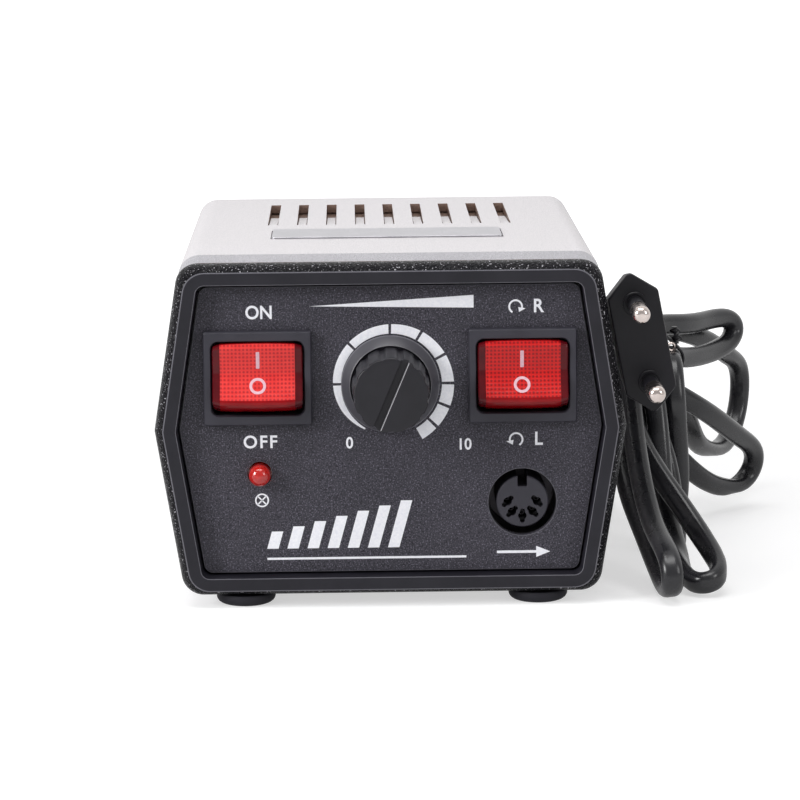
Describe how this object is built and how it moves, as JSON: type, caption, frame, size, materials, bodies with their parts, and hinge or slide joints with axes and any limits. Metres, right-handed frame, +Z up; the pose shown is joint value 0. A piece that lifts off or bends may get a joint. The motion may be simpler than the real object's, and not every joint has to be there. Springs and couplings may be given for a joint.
{
  "type": "dental laboratory micromotor control unit",
  "caption": "Bench control box for a handpiece motor, with rocker switches, a fluted speed knob, a round output socket and a vented cover; its mains lead is tied in a hank beside it.",
  "frame": {"origin": "under the middle of the case and its fittings, on the surface that the feet stand on", "axes": "+Z up, the front panel faces -Y, +X to the right seen from the front"},
  "size_m": [0.1515, 0.1882, 0.0804],
  "materials": {
    "black_plastic": "moulded black, satin",
    "panel_paint": "fine sandy black paint",
    "silver_paint": "silver-grey paint on moulded plastic",
    "brushed_metal": "satin",
    "red_lens": "clear red, glossy",
    "black_rubber": "matte",
    "nickel": "nickel plate, bright",
    "brass": "bright",
    "steel": "zinc plated",
    "board_green": "solder mask",
    "winding_tape": "insulating tape",
    "cord_vinyl": "soft vinyl",
    "glass": "clear"
  },
  "bodies": {
    "case": {"base_tray": "silver_paint", "top_cover": "silver_paint", "top_plate": "brushed_metal", "front_bezel": "black_plastic", "front_panel": "panel_paint", "rear_panel": "black_plastic", "foot_front_left": "black_rubber", "foot_front_right": "black_rubber", "foot_rear_left": "black_rubber", "foot_rear_right": "black_rubber", "case_screw_front_left": "steel", "case_screw_front_right": "steel", "case_screw_rear_left": "steel", "case_screw_rear_right": "steel", "power_switch_body": "black_plastic", "direction_switch_body": "black_plastic", "speed_potentiometer": "steel", "potentiometer_nut": "nickel", "pilot_lamp": "red_lens", "output_socket_shell": "brushed_metal", "output_socket_insert": "black_plastic", "output_contact_1": "brass", "output_contact_2": "brass", "output_contact_3": "brass", "output_contact_4": "brass", "output_contact_5": "brass", "control_board": "board_green", "board_standoff_1": "nickel", "board_standoff_2": "nickel", "board_standoff_3": "nickel", "board_standoff_4": "nickel", "smoothing_capacitor": "black_plastic", "bridge_rectifier": "black_plastic", "heat_sink": "brushed_metal", "power_transistor": "black_plastic", "transformer_core": "steel", "transformer_winding": "winding_tape", "transformer_strap": "steel", "transformer_screw_left": "steel", "transformer_screw_right": "steel", "fuse_holder": "black_plastic", "pedal_socket": "black_plastic", "pedal_socket_nut": "nickel", "voltage_selector": "black_plastic", "cord_strain_relief": "black_rubber", "mains_lead": "cord_vinyl", "cord_tie": "black_rubber", "plug_body": "black_plastic", "plug_pin_top": "nickel", "plug_pin_bottom": "nickel"},
    "power_rocker_body": {"power_rocker": "red_lens"},
    "direction_rocker_body": {"direction_rocker": "red_lens"},
    "speed_control": {"speed_knob": "black_plastic", "potentiometer_shaft": "nickel"},
    "fuse_carrier": {"fuse_link": "glass"},
    "fuse_cap_body": {"fuse_cap": "black_plastic"},
    "selector_slider_body": {"voltage_selector_slider": "red_lens"}
  },
  "joints": [
    {"name": "power_rocker_tilt", "type": "hinge", "parent": "case", "child": "power_rocker_body", "pos_m": [-0.03, -0.05595, 0.0529], "axis": [1, 0, 0], "range_deg": [0, 22]},
    {"name": "direction_rocker_tilt", "type": "hinge", "parent": "case", "child": "direction_rocker_body", "pos_m": [0.03, -0.05595, 0.0529], "axis": [1, 0, 0], "range_deg": [0, 22]},
    {"name": "speed_turn", "type": "hinge", "parent": "case", "child": "speed_control", "pos_m": [0, -0.0579, 0.0512], "axis": [0, 1, 0], "range_deg": [-173, 127]},
    {"name": "fuse_draw", "type": "slide", "parent": "case", "child": "fuse_carrier", "axis": [0, 1, 0], "range_m": [0, 0.03]},
    {"name": "fuse_cap_turn", "type": "hinge", "parent": "fuse_carrier", "child": "fuse_cap_body", "pos_m": [-0.027, 0.0664, 0.056], "axis": [0, 1, 0], "range_deg": [0, 90]},
    {"name": "selector_slide", "type": "slide", "parent": "case", "child": "selector_slider_body", "axis": [1, 0, 0], "range_m": [0, 0.005]}
  ]
}
